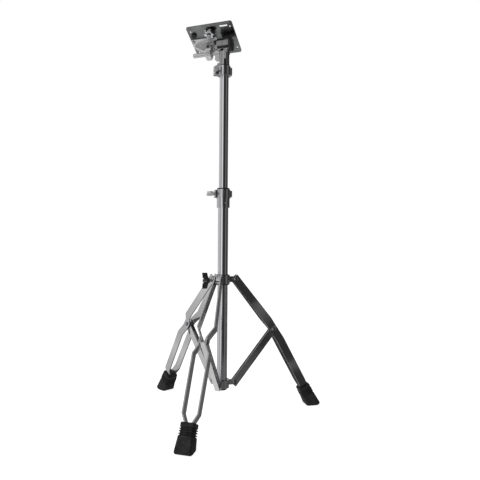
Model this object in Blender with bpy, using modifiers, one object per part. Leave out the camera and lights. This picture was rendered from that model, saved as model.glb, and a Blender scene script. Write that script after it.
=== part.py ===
"""Double-braced tripod stand with a telescoping post, a tilter and a flat mounting plate.

Units are metres and +Z is up.  Three legs stand 120 degrees apart round the post.  Each leg is
hinged to a sliding hub at its top and, at its narrow waist, to a brace from the lower collar.
"""
import math

import bmesh
import bpy
from mathutils import Matrix, Vector

# Frame: the post stands behind the middle of the footprint.
FOOT_RADIUS = 0.240
POST_Y = 0.056
LEG_AZIMUTH = {"a": 30.0, "b": -90.0, "c": 150.0}
GAP = 0.0003

# Telescoping post.
LOWER_TUBE_R = 0.0127
LOWER_TUBE_BORE = 0.0115
LOWER_TUBE_Z = (0.056, 0.540)
MID_TUBE_R = 0.0111
MID_TUBE_BORE = 0.0099
MID_TUBE_Z = (0.415, 0.845)
TOP_TUBE_R = 0.00955
TOP_TUBE_BORE = 0.0082
TOP_TUBE_Z = (0.505, 0.884)

# Tripod linkage: upper leg and brace have the same length, so the hub rises straight up the post.
PIVOT_R = 0.0325
LINK = 0.1626
LINK_ANGLE = math.radians(38.05)
COLLAR_PIVOT_Z = 0.0705
HUB_PIVOT_Z = COLLAR_PIVOT_Z + 2 * LINK * math.cos(LINK_ANGLE)
WAIST_R = PIVOT_R + LINK * math.sin(LINK_ANGLE)
WAIST_Z = COLLAR_PIVOT_Z + LINK * math.cos(LINK_ANGLE)
SHANK_ANGLE = math.atan2(FOOT_RADIUS - WAIST_R, WAIST_Z)
SHANK = math.hypot(FOOT_RADIUS - WAIST_R, WAIST_Z)

# Leg strips: half spacing of the pair along the leg, measured from the hub pivot.
STRIP_T = 0.003
STRIP_W = 0.020
STRIP_PATH = (
    (-0.007, 0.0075),
    (0.008, 0.0075),
    (0.130, 0.0200),
    (0.153, 0.0082),
    (0.172, 0.0082),
    (0.190, 0.0182),
    (0.315, 0.0170),
    (0.332, 0.0085),
    (0.374, 0.0085),
)
FOOT_TOP = 0.056
PIN_R = 0.003
PIN_HOLE_R = 0.0033
PIN_HEAD_R = 0.0055
PIN_HEAD_T = 0.0022

# Braces: channels with the web on their outer side.
BRACE_W = 0.0115
BRACE_D = 0.0175
BRACE_WALL = 0.002
BRACE_END = 0.008

# Collar and hub rings.
RING_R = 0.018
COLLAR_Z = (0.0585, 0.0780)
HUB_Z = (0.3155, 0.3375)
HUB_BORE = 0.0148
HUB_BUSH_R = 0.0145
TUBE_FIT_R = LOWER_TUBE_R + GAP
COLLAR_LUG_W = 0.0068
HUB_LUG_W = 0.0112
HUB_BOLT_R = 0.004

# Clamps on the post.
LOWER_CLAMP_Z = (0.504, 0.549)
LOWER_RING_Z = (0.527, 0.549)
UPPER_CLAMP_Z = (0.830, 0.852)
SIDE_AZIMUTH = -150.0
UPPER_AZIMUTH = -158.0

# Head: the tilter's axis crosses the post; the plate hangs on a rod behind that axis.
TILT_Z = 0.9075
HEAD_YAW = -4.0
PLATE_SLOPE = 29.7
BARREL_R = 0.016
BARREL_HALF = 0.015
SLEEVE_Z = (0.854, 0.889)
ROD_R = 0.00575
ROD_Y = 0.023
ROD_Z = 0.0035
ROD_X = (-0.094, -0.003)
PLATE_SIZE = (0.122, 0.091)
PLATE_T = 0.0025
PLATE_CENTRE = (-0.034, 0.001, 0.0275)
PLATE_UNDER = PLATE_CENTRE[2] - PLATE_T / 2
KNOB_XY = (-0.035, -0.025)
SCREW_SPOTS = ((-0.088, -0.003), (-0.070, 0.026))

SEGMENTS = 32
SMALL_SEGMENTS = 16

for old in list(bpy.data.objects):
    bpy.data.objects.remove(old, do_unlink=True)

PARTS = bpy.data.collections.new("tripod_stand")
CUTTERS = bpy.data.collections.new("cutters")
bpy.context.scene.collection.children.link(PARTS)
bpy.context.scene.collection.children.link(CUTTERS)


# ---------------------------------------------------------------- helpers

def metal(name, colour, roughness, metallic):
    """A Principled material for one sub-part."""
    material = bpy.data.materials.new(name)
    material.use_nodes = True
    shader = material.node_tree.nodes["Principled BSDF"]
    shader.inputs["Base Color"].default_value = (*colour, 1.0)
    shader.inputs["Roughness"].default_value = roughness
    shader.inputs["Metallic"].default_value = metallic
    return material


def chrome(name):
    return metal(name, (0.80, 0.80, 0.82), 0.08, 1.0)


def zinc(name):
    return metal(name, (0.55, 0.56, 0.58), 0.30, 1.0)


def plastic(name):
    return metal(name, (0.02, 0.02, 0.02), 0.45, 0.0)


def rubber(name):
    return metal(name, (0.015, 0.015, 0.015), 0.8, 0.0)


def pivot(name, at):
    """An empty on a joint's axis; the pieces that move about it are its children."""
    empty = bpy.data.objects.new(name, None)
    empty.location = at
    PARTS.objects.link(empty)
    return empty


def adopt(obj, body, make_material):
    """Put a finished piece in the parts collection, on its body's pivot."""
    CUTTERS.objects.unlink(obj)
    PARTS.objects.link(obj)
    obj.hide_render = False
    obj.display_type = "TEXTURED"
    obj.data.materials.clear()
    obj.data.materials.append(make_material(obj.name))
    obj.parent = body
    obj.matrix_parent_inverse = Matrix.Translation(-body.location)
    return obj


def shape(name, mesh, frame):
    """A new object, kept as a helper until adopt() makes it a piece."""
    obj = bpy.data.objects.new(name, mesh)
    obj.matrix_basis = frame
    obj.hide_render = True
    obj.display_type = "WIRE"
    CUTTERS.objects.link(obj)
    return obj


def smooth(mesh):
    mesh.shade_smooth()
    mesh.set_sharp_from_angle(angle=math.radians(40))


def from_bmesh(name, bm, frame):
    mesh = bpy.data.meshes.new(name)
    bm.to_mesh(mesh)
    bm.free()
    smooth(mesh)
    return shape(name, mesh, frame)


def towards(axis):
    """Rotation that carries +Z onto the axis."""
    return Vector(axis).to_track_quat("Z", "Y").to_matrix().to_4x4()


def cylinder(name, radius, start, end, frame, segments=SMALL_SEGMENTS):
    """A cylinder between two points of the frame."""
    start = Vector(start)
    end = Vector(end)
    bm = bmesh.new()
    bmesh.ops.create_cone(
        bm,
        cap_ends=True,
        segments=segments,
        radius1=radius,
        radius2=radius,
        depth=(end - start).length,
    )
    place = Matrix.Translation((start + end) / 2) @ towards(end - start)
    return from_bmesh(name, bm, frame @ place)


def box(name, low, high, frame, bevel=0.0, segments=2):
    """A box between two corners of the frame."""
    low = Vector(low)
    high = Vector(high)
    bm = bmesh.new()
    bmesh.ops.create_cube(bm, size=1.0)
    bmesh.ops.scale(bm, vec=high - low, verts=bm.verts)
    obj = from_bmesh(name, bm, frame @ Matrix.Translation((low + high) / 2))
    if bevel:
        soften(obj, bevel, segments)
    return obj


def soften(obj, width, segments=2):
    bevel = obj.modifiers.new("edges", "BEVEL")
    bevel.width = width
    bevel.segments = segments
    bevel.limit_method = "ANGLE"


def turned(name, profile, frame, closed=False, steps=SEGMENTS):
    """A profile of (radius, height) points turned round the frame's Z axis."""
    mesh = bpy.data.meshes.new(name)
    points = [(radius, 0.0, height) for radius, height in profile]
    edges = [(i, i + 1) for i in range(len(points) - 1)]
    if closed:
        edges.append((len(points) - 1, 0))
    mesh.from_pydata(points, edges, [])
    obj = shape(name, mesh, frame)
    screw = obj.modifiers.new("turn", "SCREW")
    screw.steps = steps
    screw.render_steps = steps
    screw.use_merge_vertices = True
    screw.merge_threshold = 0.00001
    screw.use_smooth_shade = True
    return obj


def ring(name, outer, inner, bottom, top, frame, steps=SEGMENTS):
    profile = [(outer, top), (outer, bottom), (inner, bottom), (inner, top)]
    return turned(name, profile, frame, closed=True, steps=steps)


def flat(name, outline, thickness, frame):
    """A flat outline in the frame's XY plane, thickened evenly both ways, as a mesh."""
    curve = bpy.data.curves.new(name, "CURVE")
    curve.dimensions = "2D"
    curve.fill_mode = "BOTH"
    curve.extrude = thickness / 2
    spline = curve.splines.new("POLY")
    spline.points.add(len(outline) - 1)
    for point, (x, y) in zip(spline.points, outline):
        point.co = (x, y, 0.0, 1.0)
    spline.use_cyclic_u = True
    source = bpy.data.objects.new(name, curve)
    bpy.context.scene.collection.objects.link(source)
    graph = bpy.context.evaluated_depsgraph_get()
    mesh = bpy.data.meshes.new_from_object(source.evaluated_get(graph))
    bpy.data.objects.remove(source, do_unlink=True)
    bm = bmesh.new()
    bm.from_mesh(mesh)
    bmesh.ops.remove_doubles(bm, verts=bm.verts, dist=0.00001)
    bm.to_mesh(mesh)
    bm.free()
    smooth(mesh)
    return shape(name, mesh, frame)


def arc(centre, radius, start, end, steps):
    """Points along an arc, with the angles in degrees."""
    points = []
    for i in range(steps + 1):
        angle = math.radians(start + (end - start) * i / steps)
        x = centre[0] + radius * math.cos(angle)
        points.append((x, centre[1] + radius * math.sin(angle)))
    return points


def rounded_box(low, high, radius, steps=4):
    """Outline of a rectangle with round corners."""
    outline = arc((high[0] - radius, high[1] - radius), radius, 0, 90, steps)
    outline += arc((low[0] + radius, high[1] - radius), radius, 90, 180, steps)
    outline += arc((low[0] + radius, low[1] + radius), radius, 180, 270, steps)
    outline += arc((high[0] - radius, low[1] + radius), radius, 270, 360, steps)
    return outline


def combine(target, operation, tools):
    for tool in tools:
        boolean = target.modifiers.new(tool.name, "BOOLEAN")
        boolean.operation = operation
        boolean.solver = "EXACT"
        boolean.object = tool
    return target


def join(target, *tools):
    return combine(target, "UNION", tools)


def cut(target, *tools):
    return combine(target, "DIFFERENCE", tools)


def rivet(name, reach, frame, radius=PIN_R, head=PIN_HEAD_R):
    """A pin along the frame's Y axis with a domed head at each end, clear of what it holds."""
    along_y = frame @ towards((0, 1, 0))
    inner = reach + GAP
    outer = inner + PIN_HEAD_T
    edge = inner + PIN_HEAD_T / 2
    profile = [
        (0.0, outer),
        (head * 0.6, outer),
        (head, edge),
        (head, inner),
        (radius, inner),
        (radius, -inner),
        (head, -inner),
        (head, -edge),
        (head * 0.6, -outer),
        (0.0, -outer),
    ]
    return turned(name, profile, along_y, steps=SMALL_SEGMENTS)


def wing_outline(inner, width, tip, lobe):
    """Outline of a pair of wings, in the plane of the bolt's axis (x) and the wings (y)."""
    centre = tip - lobe
    upper = arc((inner + width / 2, centre), lobe, -30, 210, 7)
    lower = arc((inner + width / 2, -centre), lobe, 150, 390, 7)
    return upper + lower


def wing_bolt(name, frame, shaft, hub, wings, wing_turn, body, make_material):
    """A bolt along the frame's X axis.

    shaft: (radius, start, end); hub: (radius, start, end); wings: (start, width, tip, lobe, thickness).
    """
    obj = cylinder(name, hub[0], (hub[1], 0, 0), (hub[2], 0, 0), frame)
    stem = cylinder(name + "_stem", shaft[0], (shaft[1], 0, 0), (shaft[2], 0, 0), frame)
    turn = frame @ Matrix.Rotation(math.radians(wing_turn), 4, "X")
    blade = flat(name + "_wings", wing_outline(*wings[:4]), wings[4], turn)
    join(obj, stem, blade)
    return adopt(obj, body, make_material)


# ---------------------------------------------------------------- frames and pivots

POST = Matrix.Translation((0, POST_Y, 0))


def about_post(azimuth, z=0.0):
    """Frame on the post with X pointing out at the azimuth."""
    return POST @ Matrix.Translation((0, 0, z)) @ Matrix.Rotation(math.radians(azimuth), 4, "Z")


def in_leg_plane(azimuth, radius, z, tilt):
    """Frame in a leg's plane: X outward and Z up, both turned by the tilt about Y."""
    return about_post(azimuth, z) @ Matrix.Translation((radius, 0, 0)) @ Matrix.Rotation(tilt, 4, "Y")


HEAD = about_post(HEAD_YAW, TILT_Z)
CRADLE = HEAD @ Matrix.Rotation(math.radians(-PLATE_SLOPE), 4, "X")
ROD_FRAME = CRADLE @ Matrix.Translation((0, ROD_Y, ROD_Z))
KNOB_FRAME = CRADLE @ Matrix.Translation((KNOB_XY[0], KNOB_XY[1], 0))

base = pivot("base_body", (0, POST_Y, 0))
hub_body = pivot("hub_body", about_post(LEG_AZIMUTH["a"], HUB_PIVOT_Z) @ Vector((PIVOT_R, 0, 0)))
mid_body = pivot("mid_body", (0, POST_Y, MID_TUBE_Z[0]))
top_body = pivot("top_body", (0, POST_Y, TOP_TUBE_Z[0]))
tilter_body = pivot("tilter_body", (0, POST_Y, SLEEVE_Z[0]))
cradle_body = pivot("cradle_body", HEAD.translation)
plate_body = pivot("plate_body", ROD_FRAME.translation)


# ---------------------------------------------------------------- post

def build_post():
    adopt(ring("lower_tube", LOWER_TUBE_R, LOWER_TUBE_BORE, *LOWER_TUBE_Z, POST), base, chrome)
    adopt(ring("mid_tube", MID_TUBE_R, MID_TUBE_BORE, *MID_TUBE_Z, POST), mid_body, chrome)
    adopt(ring("top_tube", TOP_TUBE_R, TOP_TUBE_BORE, *TOP_TUBE_Z, POST), top_body, chrome)
    foot_z = LOWER_TUBE_Z[0]
    plug = [
        (0.0, foot_z + 0.010),
        (LOWER_TUBE_BORE - 0.0004, foot_z + 0.010),
        (LOWER_TUBE_BORE - 0.0004, foot_z - GAP),
        (LOWER_TUBE_R, foot_z - GAP),
        (LOWER_TUBE_R - 0.001, foot_z - 0.0025),
        (0.0, foot_z - 0.0025),
    ]
    adopt(turned("tube_end_plug", plug, POST), base, plastic)


# ---------------------------------------------------------------- collar, hub and braces

def lug_outline(start, reach, half):
    """Outline of a lug in a leg's plane, round at its pivot end."""
    outline = [(start, -half)]
    outline += arc((reach - half, 0), half, -90, 90, 8)
    outline.append((start, half))
    return outline


def add_lugs(target, z, width, half):
    for key, azimuth in LEG_AZIMUTH.items():
        upright = about_post(azimuth, z) @ Matrix.Rotation(math.radians(90), 4, "X")
        outline = lug_outline(RING_R - 0.0025, PIVOT_R + half, half)
        join(target, flat(target.name + "_lug_" + key, outline, width, upright))
    for key, azimuth in LEG_AZIMUTH.items():
        at = about_post(azimuth, z) @ Matrix.Translation((PIVOT_R, 0, 0))
        cut(target, cylinder(target.name + "_hole_" + key, PIN_HOLE_R, (0, -width, 0), (0, width, 0), at))


def build_collar():
    collar = ring("lower_collar", RING_R, TUBE_FIT_R, *COLLAR_Z, POST)
    add_lugs(collar, COLLAR_PIVOT_Z, COLLAR_LUG_W, 0.0062)
    adopt(collar, base, chrome)
    for key, azimuth in LEG_AZIMUTH.items():
        at = in_leg_plane(azimuth, PIVOT_R, COLLAR_PIVOT_Z, 0.0)
        adopt(rivet("collar_pin_" + key, BRACE_W / 2, at), base, zinc)


def build_hub():
    hub = ring("hub", RING_R, HUB_BORE, *HUB_Z, POST)
    add_lugs(hub, HUB_PIVOT_Z, HUB_LUG_W, 0.0070)
    side = about_post(SIDE_AZIMUTH, HUB_PIVOT_Z - 0.003)
    join(hub, cylinder("hub_boss", 0.0075, (RING_R - 0.0025, 0, 0), (0.0255, 0, 0), side))
    cut(hub, cylinder("hub_thread", PIN_HOLE_R, (0.010, 0, 0), (0.030, 0, 0), side))
    adopt(hub, hub_body, chrome)
    bush_lip = (RING_R - 0.002, HUB_Z[0] - 0.0025)
    bush = [
        (HUB_BUSH_R, HUB_Z[1] + 0.001),
        (HUB_BUSH_R, HUB_Z[0] - GAP),
        (bush_lip[0], HUB_Z[0] - GAP),
        bush_lip,
        (TUBE_FIT_R, bush_lip[1]),
        (TUBE_FIT_R, HUB_Z[1] + 0.001),
    ]
    adopt(turned("hub_bushing", bush, POST, closed=True, steps=24), hub_body, plastic)
    for key, azimuth in LEG_AZIMUTH.items():
        at = in_leg_plane(azimuth, PIVOT_R, HUB_PIVOT_Z, 0.0)
        reach = STRIP_PATH[0][1] + STRIP_T / 2
        adopt(rivet("hub_pin_" + key, reach, at), hub_body, zinc)
    lock = pivot("hub_wing_pivot", side.translation)
    bolt = cylinder("hub_wing_bolt", HUB_BOLT_R, (0.0275, 0, 0), (0.0500, 0, 0), side)
    join(bolt, cylinder("hub_wing_stem", PIN_R, (0.0152, 0, 0), (0.0300, 0, 0), side))
    adopt(bolt, lock, zinc)
    grip = cylinder("hub_wing_grip", 0.0064, (0.0335, 0, 0), (0.0405, 0, 0), side)
    upright = side @ Matrix.Rotation(math.radians(90), 4, "X")
    blade = [(0.0345, 0.0), (0.0395, 0.0195), (0.0515, 0.0195), (0.0500, 0.0064), (0.0402, 0.0)]
    for key, sign in (("up", 1), ("down", -1)):
        outline = [(x, sign * y) for x, y in blade[::sign]]
        paddle = flat("hub_wing_" + key, outline, 0.005, upright)
        join(grip, paddle)
    cut(grip, cylinder("hub_grip_bore", HUB_BOLT_R + GAP, (0.03, 0, 0), (0.06, 0, 0), side))
    adopt(grip, lock, plastic)


def build_braces():
    half = BRACE_W / 2
    inner = half - BRACE_WALL
    web = BRACE_D / 2
    outline = [
        (web, -half),
        (web, half),
        (-web, half),
        (-web, inner),
        (web - BRACE_WALL, inner),
        (web - BRACE_WALL, -inner),
        (-web, -inner),
        (-web, -half),
    ]
    for key, azimuth in LEG_AZIMUTH.items():
        at = in_leg_plane(azimuth, PIVOT_R, COLLAR_PIVOT_Z, LINK_ANGLE)
        body = pivot("brace_pivot_" + key, at.translation)
        middle = at @ Matrix.Translation((0, 0, LINK / 2))
        brace = flat("brace_" + key, outline, LINK + 2 * BRACE_END, middle)
        for end, z in (("low", 0.0), ("high", LINK)):
            name = "brace_hole_" + key + end
            cut(brace, cylinder(name, PIN_HOLE_R, (0, -BRACE_W, z), (0, BRACE_W, z), at))
        adopt(brace, body, chrome)


# ---------------------------------------------------------------- legs

def thickened(path, half):
    """Outline of a bent strip of even thickness along a path."""
    near = []
    far = []
    for i, here in enumerate(path):
        before = Vector(path[max(i - 1, 0)])
        after = Vector(path[min(i + 1, len(path) - 1)])
        here = Vector(here)
        first = (here - before) if i else (after - here)
        second = (after - here) if i < len(path) - 1 else first
        first = first.normalized()
        second = second.normalized()
        middle = (first + second).normalized()
        across = Vector((-middle.y, middle.x)) * half / middle.dot(first)
        near.append(tuple(here + across))
        far.append(tuple(here - across))
    return near + far[::-1]


def bend_at_waist(obj):
    """Turn the shank below the waist back towards the post."""
    angle = LINK_ANGLE - SHANK_ANGLE
    for vertex in obj.data.vertices:
        past = vertex.co.x - LINK
        if past > 0:
            across = vertex.co.z
            vertex.co.x = LINK + past * math.cos(angle) + across * math.sin(angle)
            vertex.co.z = -past * math.sin(angle) + across * math.cos(angle)


def leg_frame(azimuth):
    """Frame at the hub pivot with X down the upper leg and Y along the pivot."""
    along = in_leg_plane(azimuth, PIVOT_R, HUB_PIVOT_Z, -LINK_ANGLE)
    return along @ Matrix.Rotation(math.radians(90), 4, "Y")


def tapered_block(name, low, high, top, frame, bevel):
    """A box from low to high whose upper end is scaled by top in X and Y."""
    block = box(name, low, high, frame)
    for vertex in block.data.vertices:
        if vertex.co.z > 0:
            vertex.co.x *= top
            vertex.co.y *= top
    soften(block, bevel, 2)
    return block


def build_foot(key, azimuth, body):
    """A ribbed rubber foot on the end of the shank, cut flat where it meets the ground."""
    at = in_leg_plane(azimuth, FOOT_RADIUS, 0.0, -SHANK_ANGLE)
    name = "foot_" + key
    foot = tapered_block(name, (-0.0175, -0.019, -0.0055), (0.0175, 0.019, 0.031), 0.88, at, 0.003)
    low = (-0.0142, -0.0145, 0.012)
    core = tapered_block(name + "_core", low, (0.0142, 0.0145, 0.052), 0.96, at, 0.002)
    cap = box(name + "_cap", (-0.0152, -0.0158, 0.0455), (0.0152, 0.0158, FOOT_TOP), at, 0.004, 3)
    join(foot, core, cap)
    for i in range(2):
        low = 0.0330 + 0.0062 * i
        rib = box(f"{name}_rib_{i}", (-0.0160, -0.0166, low), (0.0160, 0.0166, low + 0.0034), at, 0.0015, 1)
        join(foot, rib)
    half_gap = STRIP_T / 2 + GAP
    for side, sign in (("l", -1), ("r", 1)):
        middle = sign * STRIP_PATH[-1][1]
        low = (-STRIP_W / 2 - GAP, middle - half_gap, SHANK + LINK - STRIP_PATH[-1][0] - 0.001)
        high = (STRIP_W / 2 + GAP, middle + half_gap, FOOT_TOP + 0.01)
        cut(foot, box(name + "_pocket_" + side, low, high, at))
    reach = 0.08
    ground = about_post(azimuth) @ Matrix.Translation((FOOT_RADIUS, 0, 0))
    cut(foot, box(name + "_ground", (-reach, -reach, -reach), (reach, reach, 0), ground))
    adopt(foot, body, rubber)


def build_legs():
    for key, azimuth in LEG_AZIMUTH.items():
        waist = in_leg_plane(azimuth, WAIST_R, WAIST_Z, 0.0)
        body = pivot("leg_pivot_" + key, waist.translation)
        frame = leg_frame(azimuth)
        for side, sign in (("left", -1), ("right", 1)):
            path = [(along, sign * across) for along, across in STRIP_PATH]
            outline = thickened(path, STRIP_T / 2)
            strip = flat(f"leg_{key}_{side}", outline, STRIP_W, frame)
            bend_at_waist(strip)
            hub_hole = cylinder(f"{strip.name}_hub", PIN_HOLE_R, (0, -0.02, 0), (0, 0.02, 0), frame)
            waist_hole = cylinder(f"{strip.name}_waist", PIN_HOLE_R, (0, -0.02, 0), (0, 0.02, 0), waist)
            cut(strip, hub_hole, waist_hole)
            adopt(strip, body, chrome)
        adopt(rivet("waist_pin_" + key, STRIP_PATH[3][1] + STRIP_T / 2, waist), body, zinc)
        build_foot(key, azimuth, body)


# ---------------------------------------------------------------- clamps

def build_lower_clamp():
    clamp = ring("lower_clamp", 0.016, TUBE_FIT_R, *LOWER_CLAMP_Z, POST)
    side = about_post(SIDE_AZIMUTH)
    middle = sum(LOWER_RING_Z) / 2
    thick = ring("lower_clamp_ring", RING_R, TUBE_FIT_R, LOWER_RING_Z[0], LOWER_RING_Z[1] - 0.0008, POST)
    block = box(
        "lower_clamp_block", (0.0145, -0.008, LOWER_RING_Z[0] + 0.001), (0.0225, 0.008, 0.5472), side, 0.0015
    )
    ear = box("lower_clamp_ear", (-0.0215, -0.006, 0.530), (-0.0145, 0.006, 0.546), side, 0.0015)
    join(clamp, thick, block, ear)
    for i, azimuth in enumerate((-60, -20, 100)):
        window = about_post(azimuth, 0.515)
        cut(clamp, cylinder(f"lower_clamp_window_{i}", 0.0032, (0.010, 0, 0), (0.020, 0, 0), window))
    bolt_frame = about_post(SIDE_AZIMUTH, middle)
    cut(clamp, cylinder("lower_clamp_thread", PIN_HOLE_R, (0.010, 0, 0), (0.026, 0, 0), bolt_frame))
    adopt(clamp, base, chrome)
    lip_z = LOWER_CLAMP_Z[1]
    bush = [
        (0.0155, lip_z + 0.003),
        (0.0155, lip_z + GAP),
        (LOWER_TUBE_R, lip_z + GAP),
        (LOWER_TUBE_R, LOWER_TUBE_Z[1] + GAP),
        (MID_TUBE_R + 0.00035, LOWER_TUBE_Z[1] + GAP),
        (MID_TUBE_R + 0.00035, lip_z + 0.003),
    ]
    adopt(turned("lower_clamp_bushing", bush, POST, closed=True, steps=24), base, plastic)
    lock = pivot("lower_wing_pivot", bolt_frame.translation)
    wings = (0.030, 0.007, 0.017, 0.0068, 0.0045)
    wing_bolt(
        "lower_wing_bolt", bolt_frame, (PIN_R, 0.0132, 0.028), (0.0055, 0.0255, 0.040), wings, 8, lock, zinc
    )


def build_upper_clamp():
    side = about_post(UPPER_AZIMUTH, sum(UPPER_CLAMP_Z) / 2)
    clamp = ring("upper_clamp", 0.0165, MID_TUBE_R + GAP, *UPPER_CLAMP_Z, POST)
    ears = box("upper_clamp_ears", (0.0135, -0.009, -0.010), (0.0265, 0.009, 0.010), side, 0.0015)
    knuckle = box("upper_clamp_knuckle", (-0.0195, -0.006, -0.009), (-0.0140, 0.006, 0.009), side, 0.0015)
    join(clamp, ears, knuckle)
    slit = box("upper_clamp_slit", (0.008, -0.001, -0.02), (0.03, 0.001, 0.02), side)
    bolt_frame = side @ Matrix.Translation((0.0205, 0, 0)) @ Matrix.Rotation(math.radians(90), 4, "Z")
    hole = cylinder("upper_clamp_hole", 0.0028, (-0.03, 0, 0), (0.03, 0, 0), bolt_frame)
    cut(clamp, slit, hole)
    adopt(clamp, mid_body, chrome)
    lip_z = UPPER_CLAMP_Z[1]
    bush = [
        (0.014, lip_z + 0.0017),
        (0.014, lip_z + GAP),
        (MID_TUBE_R, lip_z + GAP),
        (MID_TUBE_R, MID_TUBE_Z[1] + GAP),
        (TOP_TUBE_R + 0.00035, MID_TUBE_Z[1] + GAP),
        (TOP_TUBE_R + 0.00035, lip_z + 0.0017),
    ]
    adopt(turned("upper_clamp_bushing", bush, POST, closed=True, steps=24), mid_body, plastic)
    lock = pivot("upper_wing_pivot", bolt_frame.translation)
    wings = (0.0185, 0.007, 0.0135, 0.006, 0.0045)
    wing_bolt(
        "upper_wing_bolt", bolt_frame, (0.0025, -0.013, 0.018), (0.0055, 0.0165, 0.0265), wings, 65, lock, zinc
    )
    nut = cylinder("upper_clamp_nut", 0.0048, (-0.0128, 0, 0), (-0.0093, 0, 0), bolt_frame, 6)
    cut(nut, cylinder("upper_nut_bore", 0.0028, (-0.03, 0, 0), (0, 0, 0), bolt_frame))
    adopt(nut, mid_body, zinc)


# ---------------------------------------------------------------- tilter

def build_tilter():
    sleeve = ring("tilter_base", LOWER_TUBE_R, TOP_TUBE_R + GAP, *SLEEVE_Z, POST)
    low = SLEEVE_Z[0] - TILT_Z
    high = SLEEVE_Z[1] - TILT_Z
    collar = ring("tilter_lip", LOWER_TUBE_R + 0.0008, TOP_TUBE_R + GAP, low + 0.001, low + 0.004, HEAD)
    neck = box("tilter_neck", (0.0006, -0.010, high - 0.004), (0.0118, 0.010, -0.006), HEAD, 0.0008)
    half = cylinder("tilter_half", BARREL_R, (GAP, 0, 0), (BARREL_HALF, 0, 0), HEAD, SEGMENTS)
    rib = box("tilter_rib", (0.0030, -0.0128, high - 0.020), (0.0090, -0.0090, high + 0.004), HEAD, 0.0008)
    join(sleeve, collar, neck, half, rib)
    cut(sleeve, cylinder("tilter_bore", 0.0043, (-0.02, 0, 0), (0.02, 0, 0), HEAD))
    adopt(sleeve, tilter_body, chrome)

    along_x = HEAD @ towards((1, 0, 0))
    start = BARREL_HALF + GAP
    bolt = [
        (0.0, start + 0.0065),
        (0.007, start + 0.0065),
        (0.0085, start + 0.005),
        (0.0168, start + 0.0045),
        (0.0168, start),
        (0.004, start),
        (0.004, -0.0195),
        (0.0, -0.0195),
    ]
    adopt(turned("tilter_bolt", bolt, along_x), tilter_body, plastic)

    rotor = cylinder("tilter_rotor", BARREL_R, (-BARREL_HALF, 0, 0), (-GAP, 0, 0), CRADLE, SEGMENTS)
    eye = cylinder("tilter_eye", 0.0098, (-0.0145, ROD_Y, ROD_Z), (-0.001, ROD_Y, ROD_Z), CRADLE, 24)
    arm = box("tilter_arm", (-0.0138, 0.006, -0.0055), (-0.0016, ROD_Y - 0.004, 0.0125), CRADLE, 0.0015)
    join(rotor, eye, arm)
    bolt_bore = cylinder("rotor_bore", 0.0043, (-0.03, 0, 0), (0.01, 0, 0), CRADLE)
    rod_bore = cylinder("rotor_rod_bore", ROD_R + GAP, (-0.03, 0, 0), (0.01, 0, 0), ROD_FRAME, 24)
    cut(rotor, bolt_bore, rod_bore)
    adopt(rotor, cradle_body, chrome)

    nut = cylinder("tilter_nut", 0.0078, (-0.0191, 0, 0), (-BARREL_HALF - GAP, 0, 0), HEAD, 6)
    cut(nut, cylinder("tilter_nut_bore", 0.0043, (-0.03, 0, 0), (0, 0, 0), HEAD))
    adopt(nut, tilter_body, zinc)


# ---------------------------------------------------------------- rod, bracket and plate

def build_rod():
    rod = cylinder("holder_rod", ROD_R, (ROD_X[0], 0, 0), (ROD_X[1], 0, 0), ROD_FRAME, 24)
    soften(rod, 0.0012, 1)
    adopt(rod, cradle_body, chrome)
    lock = pivot("rod_wing_pivot", ROD_FRAME.translation)
    name = "rod_wing_nut"
    hub = cylinder(name, 0.0095, (-0.0300, 0, 0), (-0.0155, 0, 0), ROD_FRAME, 24)
    turn = ROD_FRAME @ Matrix.Rotation(math.radians(90 + PLATE_SLOPE), 4, "X")
    wings = flat(name + "_wings", wing_outline(-0.0340, 0.014, 0.0215, 0.0070), 0.0045, turn)
    bore = cylinder(name + "_bore", ROD_R + GAP, (-0.04, 0, 0), (0, 0, 0), ROD_FRAME, 24)
    join(hub, wings)
    cut(hub, bore)
    adopt(hub, lock, chrome)


def build_bracket():
    top = PLATE_UNDER - GAP
    thick = 0.0025
    outline = [
        (-0.094, -0.009),
        (-0.024, -0.009),
        (-0.024, -0.002),
        (-0.036, 0.002),
        (-0.036, 0.034),
        (-0.078, 0.034),
        (-0.094, 0.014),
    ]
    at = CRADLE @ Matrix.Translation((0, 0, top - thick / 2))
    bracket = flat("holder_bracket", outline, thick, at)
    upright = CRADLE @ Matrix.Translation((0, 0.0095, 0)) @ Matrix.Rotation(math.radians(90), 4, "X")
    web_top = top - thick / 2
    web = [
        (-0.086, web_top),
        (-0.058, web_top),
        (-0.0425, 0.010),
        (-0.0425, -0.004),
        (-0.056, -0.004),
        (-0.086, web_top - 0.008),
    ]
    join(bracket, flat("bracket_web", web, 0.007, upright))
    eye = box("bracket_eye", (-0.057, 0.0115, -0.0125), (-0.0405, 0.0325, web_top), CRADLE, 0.004, 2)
    join(bracket, eye)
    bore = cylinder("bracket_bore", ROD_R + GAP, (-0.07, 0, 0), (-0.03, 0, 0), ROD_FRAME, 24)
    stem_hole = cylinder("bracket_stem_hole", 0.0028, (-0.045, 0.0, 0.002), (-0.045, 0.019, 0.002), CRADLE)
    cut(bracket, bore, stem_hole)
    for i, (x, y) in enumerate(SCREW_SPOTS):
        cut(bracket, cylinder(f"bracket_hole_{i}", 0.0023, (x, y, 0.015), (x, y, 0.030), CRADLE))
    adopt(bracket, plate_body, chrome)

    block = box("rod_clamp_block", (-0.0525, -0.0005, -0.0065), (-0.0365, 0.0057, 0.0105), CRADLE, 0.002, 2)
    socket = box("clamp_socket", (-0.0488, -0.004, -0.0025), (-0.0402, 0.0025, 0.0065), CRADLE)
    cut(block, socket)
    adopt(block, plate_body, zinc)
    screw = cylinder("clamp_screw", 0.0022, (-0.0445, -0.0025, 0.002), (-0.0445, 0.0022, 0.002), CRADLE, 12)
    adopt(screw, plate_body, plastic)


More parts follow.
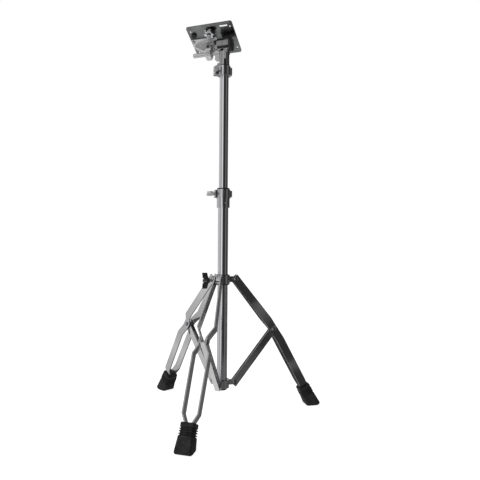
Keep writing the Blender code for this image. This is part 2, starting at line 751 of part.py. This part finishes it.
def build_plate():
    half_x = PLATE_SIZE[0] / 2
    half_y = PLATE_SIZE[1] / 2
    at = CRADLE @ Matrix.Translation(PLATE_CENTRE)
    plate = flat("module_plate", rounded_box((-half_x, -half_y), (half_x, half_y), 0.005), PLATE_T, at)
    lip_low = (-half_x + 0.004, -half_y + 0.0002, -0.0075)
    lip_high = (half_x - 0.004, -half_y + 0.0024, 0.0002)
    join(plate, box("plate_lip", lip_low, lip_high, at))
    deep = 0.01
    for i, (x, y) in enumerate(((-1, -1), (1, -1), (-1, 1), (1, 1))):
        centre = (x * 0.053, y * 0.031)
        hole = cylinder(f"plate_hole_{i}", 0.0024, (*centre, -deep), (*centre, deep), at)
        cut(plate, hole)
    slots = (((0.026, -0.0375), (0.048, -0.0325)), ((0.033, 0.014), (0.045, 0.0185)))
    for i, (low, high) in enumerate(slots):
        outline = rounded_box(low, high, (high[1] - low[1]) / 2 * 0.98)
        cut(plate, flat(f"plate_slot_{i}", outline, 2 * deep, at))
    for i, (x, y) in enumerate(SCREW_SPOTS):
        cut(plate, cylinder(f"plate_screw_hole_{i}", 0.0023, (x, y, 0.02), (x, y, 0.04), CRADLE))
    cut(plate, cylinder("plate_stud_hole", PIN_HOLE_R, (0, 0, 0.02), (0, 0, 0.04), KNOB_FRAME))
    adopt(plate, plate_body, zinc)

    under_bracket = PLATE_UNDER - GAP - 0.0025 - GAP
    for i, (x, y) in enumerate(SCREW_SPOTS):
        profile = [
            (0.0, PLATE_UNDER + PLATE_T - 0.0003),
            (0.002, PLATE_UNDER + PLATE_T - 0.0003),
            (0.002, under_bracket),
            (0.0042, under_bracket),
            (0.0036, under_bracket - 0.0026),
            (0.0, under_bracket - 0.0026),
        ]
        spot = CRADLE @ Matrix.Translation((x, y, 0))
        adopt(turned(f"bracket_screw_{i + 1}", profile, spot, steps=16), plate_body, zinc)
    bumper = [
        (0.0, PLATE_UNDER - GAP),
        (0.0068, PLATE_UNDER - GAP),
        (0.0060, PLATE_UNDER - 0.006),
        (0.0, PLATE_UNDER - 0.006),
    ]
    spot = CRADLE @ Matrix.Translation((-0.081, -0.0195, 0))
    adopt(turned("plate_bumper", bumper, spot, steps=20), plate_body, rubber)
    stud_end = PLATE_UNDER + PLATE_T - 0.0003
    stud = cylinder("plate_stud", PIN_R, (0, 0, 0.0085), (0, 0, stud_end), KNOB_FRAME)
    adopt(stud, plate_body, zinc)


def build_knob():
    """A six-lobed hand nut under the plate."""
    body = pivot("knob_pivot", KNOB_FRAME.translation)
    lobes = 6
    outline = []
    for i in range(lobes * 8):
        angle = 2 * math.pi * i / (lobes * 8)
        radius = 0.0135 + 0.0015 * math.cos(lobes * angle)
        outline.append((radius * math.cos(angle), radius * math.sin(angle)))
    at = KNOB_FRAME @ Matrix.Translation((0, 0, 0.0165))
    knob = flat("quick_release_knob", outline, 0.010, at)
    neck = cylinder("knob_neck", 0.0065, (0, 0, 0.020), (0, 0, PLATE_UNDER - 0.0006), KNOB_FRAME)
    join(knob, neck)
    cut(knob, cylinder("knob_bore", PIN_HOLE_R, (0, 0, 0), (0, 0, 0.04), KNOB_FRAME))
    adopt(knob, body, chrome)


build_post()
build_collar()
build_hub()
build_braces()
build_legs()
build_lower_clamp()
build_upper_clamp()
build_tilter()
build_rod()
build_bracket()
build_plate()
build_knob()
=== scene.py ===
"""Chrome double-braced tripod stand with a tilting mounting plate, in a white studio."""
import math

import bmesh
import bpy
from mathutils import Matrix, Vector


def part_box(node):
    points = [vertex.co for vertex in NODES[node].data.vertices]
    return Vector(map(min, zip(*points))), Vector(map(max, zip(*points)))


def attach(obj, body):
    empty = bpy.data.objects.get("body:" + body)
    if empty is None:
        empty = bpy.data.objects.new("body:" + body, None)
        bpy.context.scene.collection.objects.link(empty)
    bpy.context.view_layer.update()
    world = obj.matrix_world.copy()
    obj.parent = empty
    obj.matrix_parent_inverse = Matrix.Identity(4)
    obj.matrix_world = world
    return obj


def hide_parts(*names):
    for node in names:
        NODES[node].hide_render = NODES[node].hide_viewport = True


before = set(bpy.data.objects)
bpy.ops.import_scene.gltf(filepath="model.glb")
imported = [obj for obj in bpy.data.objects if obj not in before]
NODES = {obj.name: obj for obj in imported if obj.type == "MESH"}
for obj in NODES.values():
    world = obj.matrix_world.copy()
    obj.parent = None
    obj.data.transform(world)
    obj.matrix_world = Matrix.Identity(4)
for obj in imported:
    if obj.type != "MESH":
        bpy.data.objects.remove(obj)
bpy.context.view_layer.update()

# ---------------------------------------------------------------- places in the frame


def centre(node):
    low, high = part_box(node)
    return (low + high) / 2


POST = centre("lower_tube")
POST.z = 0.0
TILT_HEIGHT = 0.9075
HEAD_YAW = math.radians(-4.0)
PLATE_SLOPE = math.radians(29.7)
HEAD = Matrix.Translation(POST + Vector((0, 0, TILT_HEIGHT))) @ Matrix.Rotation(HEAD_YAW, 4, "Z")
CRADLE = HEAD @ Matrix.Rotation(-PLATE_SLOPE, 4, "X")
LEG_AZIMUTH = {"a": 30.0, "b": -90.0, "c": 150.0}


# ---------------------------------------------------------------- materials

NOISE_SPAN = (0.35, 0.65)
BEVEL_SAMPLES = 4


class Surface:
    """A Principled material with the nodes that give its finish."""

    def __init__(self, name, colour, roughness, metallic):
        self.material = bpy.data.materials.new(name)
        self.material.use_nodes = True
        self.tree = self.material.node_tree
        self.shader = self.tree.nodes["Principled BSDF"]
        self.shader.inputs["Metallic"].default_value = metallic
        self.shader.inputs["Roughness"].default_value = roughness
        self.shader.inputs["Base Color"].default_value = (*colour, 1.0)
        self.place = self.node("ShaderNodeTexCoord").outputs["Object"]

    def node(self, kind, **values):
        made = self.tree.nodes.new(kind)
        for key, value in values.items():
            setattr(made, key, value)
        return made

    def link(self, source, target):
        self.tree.links.new(source, target)

    def noise(self, scale, detail, stretch=(1, 1, 1)):
        mapping = self.node("ShaderNodeMapping")
        mapping.inputs["Scale"].default_value = stretch
        self.link(self.place, mapping.inputs["Vector"])
        noise = self.node("ShaderNodeTexNoise")
        noise.inputs["Scale"].default_value = scale
        noise.inputs["Detail"].default_value = detail
        self.link(mapping.outputs["Vector"], noise.inputs["Vector"])
        return noise.outputs["Fac"]

    def vary_roughness(self, source, low, high):
        span = self.node("ShaderNodeMapRange")
        span.inputs["From Min"].default_value = NOISE_SPAN[0]
        span.inputs["From Max"].default_value = NOISE_SPAN[1]
        span.inputs["To Min"].default_value = low
        span.inputs["To Max"].default_value = high
        self.link(source, span.inputs["Value"])
        self.link(span.outputs["Result"], self.shader.inputs["Roughness"])

    def vary_colour(self, source, darker, lighter):
        ramp = self.node("ShaderNodeValToRGB")
        for stop, position, colour in zip(ramp.color_ramp.elements, NOISE_SPAN, (darker, lighter)):
            stop.position = position
            stop.color = (*colour, 1.0)
        self.link(source, ramp.inputs["Fac"])
        self.link(ramp.outputs["Color"], self.shader.inputs["Base Color"])

    def relief(self, source, strength, distance, edge=0.0):
        """Bumps from the source, on edges that look rounded by this radius."""
        bump = self.node("ShaderNodeBump")
        bump.inputs["Strength"].default_value = strength
        bump.inputs["Distance"].default_value = distance
        self.link(source, bump.inputs["Height"])
        if edge:
            rounded = self.node("ShaderNodeBevel", samples=BEVEL_SAMPLES)
            rounded.inputs["Radius"].default_value = edge
            self.link(rounded.outputs["Normal"], bump.inputs["Normal"])
        self.link(bump.outputs["Normal"], self.shader.inputs["Normal"])


def scaled(colour, factor):
    return tuple(c * factor for c in colour)


def chrome(name, colour=(0.78, 0.78, 0.80), roughness=0.06, edge=0.0):
    """Polished plate: nearly a mirror, with faint handling haze and slight waviness."""
    s = Surface(name, colour, roughness, metallic=1.0)
    s.vary_roughness(s.noise(scale=38.0, detail=4.0), low=roughness * 0.7, high=roughness * 1.9)
    s.vary_colour(s.noise(scale=11.0, detail=2.0), darker=scaled(colour, 0.93), lighter=colour)
    s.relief(s.noise(scale=45.0, detail=1.0), strength=0.004, distance=0.0003, edge=edge)
    return s.material


def zinc(name, colour=(0.50, 0.51, 0.53), metallic=1.0):
    """Bright zinc: softer reflections, blotchy roughness."""
    s = Surface(name, colour, roughness=0.28, metallic=metallic)
    s.vary_roughness(s.noise(scale=220.0, detail=4.0), low=0.26, high=0.32)
    s.vary_colour(s.noise(scale=90.0, detail=3.0), darker=scaled(colour, 0.94), lighter=colour)
    s.relief(s.noise(scale=300.0, detail=1.0), strength=0.01, distance=0.0002)
    return s.material


def brushed_plate(name, colour=(0.24, 0.243, 0.246)):
    """Plated sheet: fine rolling lines along the width and soft cloudy tone."""
    s = Surface(name, colour, roughness=0.30, metallic=1.0)
    clouds = s.noise(scale=26.0, detail=3.0)
    s.vary_colour(clouds, darker=scaled(colour, 0.70), lighter=scaled(colour, 1.25))
    s.vary_roughness(s.noise(scale=60.0, detail=3.0, stretch=(0.4, 6.0, 6.0)), low=0.20, high=0.36)
    lines = s.noise(scale=160.0, detail=1.0, stretch=(0.1, 4.0, 4.0))
    s.relief(lines, strength=0.008, distance=0.0002)
    return s.material


def black_nylon(name):
    """Moulded nylon: fine grain, a soft sheen that varies, rounded edges."""
    s = Surface(name, (0.012, 0.012, 0.013), roughness=0.42, metallic=0.0)
    tone = s.noise(scale=120.0, detail=3.0)
    s.vary_colour(tone, darker=(0.008, 0.008, 0.009), lighter=(0.020, 0.020, 0.021))
    s.vary_roughness(s.noise(scale=80.0, detail=4.0), low=0.34, high=0.52)
    s.relief(s.noise(scale=1800.0, detail=2.0), strength=0.15, distance=0.0002, edge=0.0006)
    return s.material


def black_rubber(name):
    """Moulded rubber: dull in patches, level fine grooves and a pebbled skin."""
    s = Surface(name, (0.012, 0.012, 0.012), roughness=0.75, metallic=0.0)
    tone = s.noise(scale=60.0, detail=5.0)
    s.vary_colour(tone, darker=(0.007, 0.007, 0.007), lighter=(0.018, 0.018, 0.018))
    s.vary_roughness(s.noise(scale=140.0, detail=4.0), low=0.55, high=0.85)
    grooves = s.node("ShaderNodeTexWave", bands_direction="Z")
    grooves.inputs["Scale"].default_value = 62.0
    grooves.inputs["Distortion"].default_value = 0.0
    s.link(s.place, grooves.inputs["Vector"])
    pebble_share = 0.25
    skin = s.node("ShaderNodeMath", operation="MULTIPLY_ADD")
    skin.inputs[1].default_value = pebble_share
    s.link(s.noise(scale=1300.0, detail=3.0), skin.inputs[0])
    s.link(grooves.outputs["Fac"], skin.inputs[2])
    s.relief(skin.outputs["Value"], strength=0.55, distance=0.0009, edge=0.0010)
    return s.material


CHROME = chrome("post_chrome")
LEG_CHROME = chrome("leg_chrome", (0.70, 0.70, 0.71), roughness=0.10, edge=0.0010)
CAST_CHROME = chrome("cast_chrome", (0.66, 0.66, 0.68), roughness=0.14)
TILTER_CHROME = chrome("tilter_chrome", (0.42, 0.42, 0.43), roughness=0.12, edge=0.0012)
KNOB_CHROME = chrome("knob_chrome", (0.74, 0.74, 0.76), roughness=0.08)
ZINC = zinc("zinc")
BRACKET = zinc("bracket_zinc", (0.60, 0.60, 0.60), metallic=0.6)
PLATE = brushed_plate("plate_steel")
NYLON = black_nylon("black_nylon")
RUBBER = black_rubber("black_rubber")

NODE_MATERIALS = {
    "lower_tube": CHROME,
    "mid_tube": CHROME,
    "top_tube": CHROME,
    "module_plate": PLATE,
    "holder_bracket": BRACKET,
    "rod_clamp_block": BRACKET,
    "rod_wing_nut": BRACKET,
    "holder_rod": BRACKET,
    "tilter_bolt": NYLON,
    "clamp_screw": NYLON,
    "upper_wing_bolt": BRACKET,
    "lower_wing_bolt": BRACKET,
    "tube_end_plug": NYLON,
    "hub_bushing": NYLON,
    "lower_clamp_bushing": NYLON,
    "upper_clamp_bushing": NYLON,
    "hub_wing_grip": NYLON,
    "plate_bumper": RUBBER,
    "quick_release_knob": KNOB_CHROME,
    "tilter_base": TILTER_CHROME,
    "tilter_rotor": TILTER_CHROME,
    "lower_clamp": CAST_CHROME,
    "upper_clamp": CAST_CHROME,
    "lower_collar": CAST_CHROME,
    "hub": CAST_CHROME,
}


def material_for(name):
    if name in NODE_MATERIALS:
        return NODE_MATERIALS[name]
    if name.startswith("foot_"):
        return RUBBER
    if name.startswith(("leg_", "brace_")):
        return LEG_CHROME
    return ZINC


# ---------------------------------------------------------------- smooth shading of the frame's nodes

CREASE = math.radians(35)
WELD_DISTANCE = 0.000005


def smoothing_group():
    """Geometry nodes: weld the facets' corners and shade smooth where edges turn less than the crease."""
    group = bpy.data.node_groups.new("smooth_by_angle", "GeometryNodeTree")
    group.interface.new_socket("Geometry", in_out="INPUT", socket_type="NodeSocketGeometry")
    group.interface.new_socket("Geometry", in_out="OUTPUT", socket_type="NodeSocketGeometry")
    start = group.nodes.new("NodeGroupInput")
    end = group.nodes.new("NodeGroupOutput")
    weld = group.nodes.new("GeometryNodeMergeByDistance")
    weld.inputs["Distance"].default_value = WELD_DISTANCE
    angle = group.nodes.new("GeometryNodeInputMeshEdgeAngle")
    soft = group.nodes.new("FunctionNodeCompare")
    soft.operation = "LESS_THAN"
    soft.inputs["B"].default_value = CREASE
    faces = group.nodes.new("GeometryNodeSetShadeSmooth")
    faces.domain = "FACE"
    edges = group.nodes.new("GeometryNodeSetShadeSmooth")
    edges.domain = "EDGE"
    edges.inputs["Shade Smooth"].default_value = False
    hard = group.nodes.new("FunctionNodeBooleanMath")
    hard.operation = "NOT"
    link = group.links.new
    link(start.outputs[0], weld.inputs["Geometry"])
    link(weld.outputs[0], faces.inputs["Geometry"])
    link(faces.outputs[0], edges.inputs["Geometry"])
    link(angle.outputs["Unsigned Angle"], soft.inputs["A"])
    link(soft.outputs[0], hard.inputs[0])
    link(hard.outputs[0], edges.inputs["Selection"])
    link(edges.outputs[0], end.inputs[0])
    return group


SMOOTHING = smoothing_group()


def finish_node(obj):
    obj.data.materials.clear()
    obj.data.materials.append(material_for(obj.name))
    modifier = obj.modifiers.new("smooth", "NODES")
    modifier.node_group = SMOOTHING


for node in NODES.values():
    finish_node(node)


# ---------------------------------------------------------------- helpers for added pieces

ROUND_STEPS = 96
MOULDED_CREASE = math.radians(50)


def join_loops(bm, loops, closed):
    """Faces from each loop of corners to the next, and from the last to the first if closed."""
    pairs = list(zip(loops, loops[1:]))
    if closed:
        pairs.append((loops[-1], loops[0]))
    count = len(loops[0])
    for below, above in pairs:
        for i in range(count):
            j = (i + 1) % count
            bm.faces.new((below[i], below[j], above[j], above[i]))


def add_piece(name, bm, material, crease):
    """The finished mesh as an object, shaded smooth except where edges turn more than the crease."""
    bmesh.ops.recalc_face_normals(bm, faces=bm.faces)
    mesh = bpy.data.meshes.new(name)
    bm.to_mesh(mesh)
    bm.free()
    mesh.shade_smooth()
    mesh.set_sharp_from_angle(angle=crease)
    mesh.materials.append(material)
    piece = bpy.data.objects.new(name, mesh)
    bpy.context.scene.collection.objects.link(piece)
    return piece


def turned(name, section, material, crease, lobes=0):
    """A closed section of (radius, flute depth, height) points turned round Z, with this many lobes."""
    bm = bmesh.new()
    loops = []
    for radius, flute, height in section:
        loop = []
        for i in range(ROUND_STEPS):
            angle = 2 * math.pi * i / ROUND_STEPS
            r = radius - flute * (1 - math.cos(lobes * angle)) / 2
            loop.append(bm.verts.new((r * math.cos(angle), r * math.sin(angle), height)))
        loops.append(loop)
    join_loops(bm, loops, closed=True)
    return add_piece(name, bm, material, crease)


# ---------------------------------------------------------------- post tubes

TUBE_EASE = 0.0004


def tube_skin(node, body, wall):
    """A fine round tube with eased ends in place of the faceted one."""
    low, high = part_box(node)
    outer = (high.x - low.x) / 2
    inner = outer - wall
    section = [
        (outer - TUBE_EASE, 0.0, high.z),
        (outer, 0.0, high.z - TUBE_EASE),
        (outer, 0.0, low.z + TUBE_EASE),
        (outer - TUBE_EASE, 0.0, low.z),
        (inner + TUBE_EASE, 0.0, low.z),
        (inner, 0.0, low.z + TUBE_EASE),
        (inner, 0.0, high.z - TUBE_EASE),
        (inner + TUBE_EASE, 0.0, high.z),
    ]
    skin = turned(node + "_skin", section, CHROME, CREASE)
    skin.matrix_world = Matrix.Translation(POST)
    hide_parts(node)
    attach(skin, body)


tube_skin("lower_tube", "base", wall=0.0012)
tube_skin("mid_tube", "mid", wall=0.0012)
tube_skin("top_tube", "top", wall=0.00135)


# ---------------------------------------------------------------- ribbed rubber feet

LINK = 0.1626
LINK_ANGLE = math.radians(38.05)
PIVOT_RADIUS = 0.0325
PIVOT_HEIGHT = 0.0705
FOOT_RADIUS = 0.240
WAIST_RADIUS = PIVOT_RADIUS + LINK * math.sin(LINK_ANGLE)
WAIST_HEIGHT = PIVOT_HEIGHT + LINK * math.cos(LINK_ANGLE)
SHANK_ANGLE = math.atan2(FOOT_RADIUS - WAIST_RADIUS, WAIST_HEIGHT)

# Half depth and half width of the boot's bottom and top, the ribs, the grooves between them and the cuff.
BOOT_LOW = (0.0174, 0.0189)
BOOT_HIGH = (0.0156, 0.0169)
RIB = (0.0160, 0.0166)
GROOVE = (0.0138, 0.0142)
CUFF = (0.0152, 0.0158)
FOOT_CORNER = 0.0048
CORNER_STEPS = 6

# Outlines of (height up the shank, half sizes, how far they are drawn in). The boot starts below the
# ground, where it is cut level, and a rib's heights are counted from its own start.
BOOT_OUTLINE = (
    (-0.0055, BOOT_LOW, 0.0025),
    (-0.0035, BOOT_LOW, 0.0005),
    (-0.0015, BOOT_LOW, 0.0),
    (0.0280, BOOT_HIGH, 0.0),
    (0.0302, BOOT_HIGH, 0.0007),
    (0.0312, GROOVE, 0.0),
)
RIB_OUTLINE = (
    (0.0008, GROOVE, 0.0),
    (0.0013, RIB, 0.0004),
    (0.0018, RIB, 0.0),
    (0.0028, RIB, 0.0),
    (0.0033, RIB, 0.0004),
    (0.0038, GROOVE, 0.0),
)
CUFF_OUTLINE = (
    (0.0457, GROOVE, 0.0),
    (0.0461, CUFF, 0.0004),
    (0.0467, CUFF, 0.0),
    (0.0541, CUFF, 0.0),
    (0.0554, CUFF, 0.0005),
    (0.0560, CUFF, 0.0016),
)
RIB_STARTS = (0.0312, 0.0360, 0.0408)


def shank_frame(azimuth):
    """Frame on the ground under a foot, with Z up the shank and Y along the leg's pivots."""
    plane = Matrix.Translation(POST) @ Matrix.Rotation(math.radians(azimuth), 4, "Z")
    return plane @ Matrix.Translation((FOOT_RADIUS, 0, 0)) @ Matrix.Rotation(-SHANK_ANGLE, 4, "Y")


def foot_sections():
    """(height, half depth, half width) up the boot, the ribs and the cuff."""
    outline = list(BOOT_OUTLINE)
    for start in RIB_STARTS:
        outline += [(start + rise, half, drawn_in) for rise, half, drawn_in in RIB_OUTLINE]
    outline += CUFF_OUTLINE
    return [(height, half[0] - drawn_in, half[1] - drawn_in) for height, half, drawn_in in outline]


def rounded_loop(half_x, half_y):
    """A rectangle of these half sizes with round corners."""
    loop = []
    for quarter in range(4):
        sx = 1 if quarter in (0, 3) else -1
        sy = 1 if quarter in (0, 1) else -1
        for i in range(CORNER_STEPS + 1):
            angle = math.radians(90) * (quarter + i / CORNER_STEPS)
            x = sx * (half_x - FOOT_CORNER) + FOOT_CORNER * math.cos(angle)
            y = sy * (half_y - FOOT_CORNER) + FOOT_CORNER * math.sin(angle)
            loop.append((x, y))
    return loop


def cut_level(bm):
    """Removes what lies below the ground and closes the cut."""
    everything = list(bm.verts) + list(bm.edges) + list(bm.faces)
    ground, up = (0, 0, 0), (0, 0, 1)
    cut = bmesh.ops.bisect_plane(bm, geom=everything, plane_co=ground, plane_no=up, clear_inner=True)
    rim = [e for e in cut["geom_cut"] if isinstance(e, bmesh.types.BMEdge)]
    bmesh.ops.contextual_create(bm, geom=rim)


def build_foot(key, azimuth):
    bm = bmesh.new()
    at = shank_frame(azimuth)
    loops = []
    for height, half_x, half_y in foot_sections():
        corners = rounded_loop(half_x, half_y)
        loops.append([bm.verts.new(at @ Vector((x, y, height))) for x, y in corners])
    join_loops(bm, loops, closed=False)
    bm.faces.new(loops[0][::-1])
    bm.faces.new(loops[-1])
    cut_level(bm)
    skin = add_piece("foot_skin_" + key, bm, RUBBER, MOULDED_CREASE)
    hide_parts("foot_" + key)
    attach(skin, "leg_" + key)


for key, azimuth in LEG_AZIMUTH.items():
    build_foot(key, azimuth)


# ---------------------------------------------------------------- fluted hand nut

KNOB_SPOT = (-0.035, -0.025, 0.0)
KNOB_LOBES = 6
KNOB_FLUTE = 0.0042
# (radius, share of the flutes' depth, height) from the bore over the face, round the rim and up the neck.
KNOB_SECTION = (
    (0.0034, 0.0, 0.0130),
    (0.0040, 0.0, 0.0124),
    (0.0062, 0.0, 0.0122),
    (0.0070, 0.1, 0.0117),
    (0.0110, 0.6, 0.0117),
    (0.0135, 0.9, 0.0124),
    (0.0147, 1.0, 0.0138),
    (0.0150, 1.0, 0.0160),
    (0.0150, 1.0, 0.0190),
    (0.0145, 1.0, 0.0206),
    (0.0130, 0.8, 0.0214),
    (0.0075, 0.1, 0.0215),
    (0.0066, 0.0, 0.0222),
    (0.0064, 0.0, 0.0254),
    (0.0060, 0.0, 0.0256),
    (0.0034, 0.0, 0.0256),
)


def build_knob():
    section = [(radius, share * KNOB_FLUTE, height) for radius, share, height in KNOB_SECTION]
    skin = turned("knob_skin", section, KNOB_CHROME, MOULDED_CREASE, KNOB_LOBES)
    skin.matrix_world = CRADLE @ Matrix.Translation(KNOB_SPOT)
    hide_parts("quick_release_knob")
    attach(skin, "knob")


build_knob()


# ---------------------------------------------------------------- stage, light and camera

CAMERA_PLACE = POST + Vector((0.3545, -1.1122, 0.4271))
CAMERA_AZIMUTH = math.radians(15.6)
CAMERA_DIP = math.radians(0.145)
CAMERA_ROLL = math.radians(0.44)
CAMERA_LENS = 35.25
CAMERA_SENSOR = 36.0
FLOOR_HALF_SIZE = 14.0
FLOOR_GAP = 0.0005
FLOOR_GLOW = 0.88


def build_floor():
    """A white floor that the polished parts don't mirror."""
    bm = bmesh.new()
    bmesh.ops.create_grid(bm, x_segments=1, y_segments=1, size=FLOOR_HALF_SIZE)
    mesh = bpy.data.meshes.new("floor")
    bm.to_mesh(mesh)
    bm.free()
    floor = bpy.data.objects.new("floor", mesh)
    floor.location.z = -FLOOR_GAP
    floor.visible_glossy = False
    bpy.context.scene.collection.objects.link(floor)
    s = Surface("floor_white", (0.5, 0.5, 0.5), roughness=1.0, metallic=0.0)
    s.shader.inputs["Emission Color"].default_value = (1, 1, 1, 1)
    s.shader.inputs["Emission Strength"].default_value = FLOOR_GLOW
    mesh.materials.append(s.material)


# Tones of the mirrored room. The first number goes once round from behind the camera: a quarter is at the
# camera's left, a half ahead of it and three quarters at its right.
ROOM_TONES = (
    (0.000, 0.045),
    (0.020, 0.045),
    (0.035, 0.80),
    (0.085, 1.00),
    (0.110, 0.45),
    (0.220, 0.50),
    (0.260, 0.72),
    (0.300, 0.60),
    (0.440, 0.55),
    (0.500, 0.30),
    (0.550, 0.15),
    (0.640, 0.12),
    (0.680, 0.035),
    (0.760, 0.035),
    (0.778, 0.16),
    (0.850, 0.16),
    (0.870, 0.030),
    (1.000, 0.045),
)
# Directions, as parts of a unit vector in the camera's bearing, over which each tone fades in.
FAR_FLOOR_TONE = 0.13
FAR_FLOOR_DOWN = (-0.243, -0.253)
NEAR_FLOOR_TONE = 0.04
NEAR_FLOOR_DOWN = (-0.36, -0.44)
NEAR_FLOOR_TOWARDS = (-0.08, -0.16)
STRAIGHT_DOWN = (-0.93, -0.97)


def build_world():
    """White to the camera. Polished parts mirror a room that is bright on the left and dark on the
    right, over a grey floor that is darker towards the camera and white straight below."""
    world = bpy.data.worlds.new("studio")
    bpy.context.scene.world = world
    world.use_nodes = True
    tree = world.node_tree
    add = tree.nodes.new
    link = tree.links.new

    def computed(operation, first, second):
        maths = add("ShaderNodeMath")
        maths.operation = operation
        link(first, maths.inputs[0])
        link(second, maths.inputs[1])
        return maths.outputs["Value"]

    def share(source, none, full):
        span = add("ShaderNodeMapRange")
        span.inputs["From Min"].default_value = none
        span.inputs["From Max"].default_value = full
        link(source, span.inputs["Value"])
        return span.outputs["Result"]

    def blended(under, tone, factor, kind="MIX"):
        mix = add("ShaderNodeMix")
        mix.data_type = "RGBA"
        mix.blend_type = kind
        mix.inputs["B"].default_value = (tone, tone, tone, 1)
        link(factor, mix.inputs["Factor"])
        link(under, mix.inputs["A"])
        return mix.outputs["Result"]

    turn = add("ShaderNodeMapping")
    turn.inputs["Rotation"].default_value = (0, 0, -CAMERA_AZIMUTH)
    link(add("ShaderNodeTexCoord").outputs["Generated"], turn.inputs["Vector"])
    split = add("ShaderNodeSeparateXYZ")
    link(turn.outputs["Vector"], split.inputs["Vector"])
    x, y, z = split.outputs["X"], split.outputs["Y"], split.outputs["Z"]

    walls = add("ShaderNodeValToRGB")
    link(share(computed("ARCTAN2", x, y), -math.pi, math.pi), walls.inputs["Fac"])
    stops = walls.color_ramp.elements
    while len(stops) < len(ROOM_TONES):
        stops.new(0.5)
    for stop, (at, tone) in zip(stops, ROOM_TONES):
        stop.position = at
        stop.color = (tone, tone, tone, 1.0)

    room = blended(walls.outputs["Color"], FAR_FLOOR_TONE, share(z, *FAR_FLOOR_DOWN), "LIGHTEN")
    near = computed("MULTIPLY", share(z, *NEAR_FLOOR_DOWN), share(y, *NEAR_FLOOR_TOWARDS))
    room = blended(room, NEAR_FLOOR_TONE, near)
    seen = add("ShaderNodeLightPath").outputs["Is Camera Ray"]
    room = blended(room, 1, computed("MAXIMUM", seen, share(z, *STRAIGHT_DOWN)))
    link(room, tree.nodes["Background"].inputs["Color"])


def area_light(name, at, target, width, height, power):
    """A soft light that the polished parts don't mirror."""
    data = bpy.data.lights.new(name, "AREA")
    data.shape = "RECTANGLE"
    data.size = width
    data.size_y = height
    data.energy = power
    light = bpy.data.objects.new(name, data)
    aim = (Vector(target) - Vector(at)).to_track_quat("-Z", "Y")
    light.matrix_world = Matrix.Translation(at) @ aim.to_matrix().to_4x4()
    light.visible_camera = False
    light.visible_glossy = False
    bpy.context.scene.collection.objects.link(light)


def build_lights():
    area_light("top_soft", at=(-0.6, -0.4, 2.6), target=(0, 0, 0.4), width=1.6, height=1.6, power=22.0)
    area_light("front_fill", at=(-0.5, -1.5, 0.35), target=(0, 0.05, 0.9), width=0.8, height=0.8, power=6.0)


def build_camera():
    """Nearly level camera in front and to the right of the stand."""
    data = bpy.data.cameras.new("camera")
    data.lens = CAMERA_LENS
    data.sensor_width = CAMERA_SENSOR
    camera = bpy.data.objects.new("camera", data)
    bearing = Matrix.Rotation(CAMERA_AZIMUTH, 4, "Z")
    level = Matrix.Rotation(math.radians(90) - CAMERA_DIP, 4, "X")
    roll = Matrix.Rotation(CAMERA_ROLL, 4, "Z")
    camera.matrix_world = Matrix.Translation(CAMERA_PLACE) @ bearing @ level @ roll
    bpy.context.scene.collection.objects.link(camera)
    bpy.context.scene.camera = camera


build_floor()
build_world()
build_lights()
build_camera()
bpy.context.scene.view_settings.view_transform = "Standard"

bpy.context.view_layer.update()
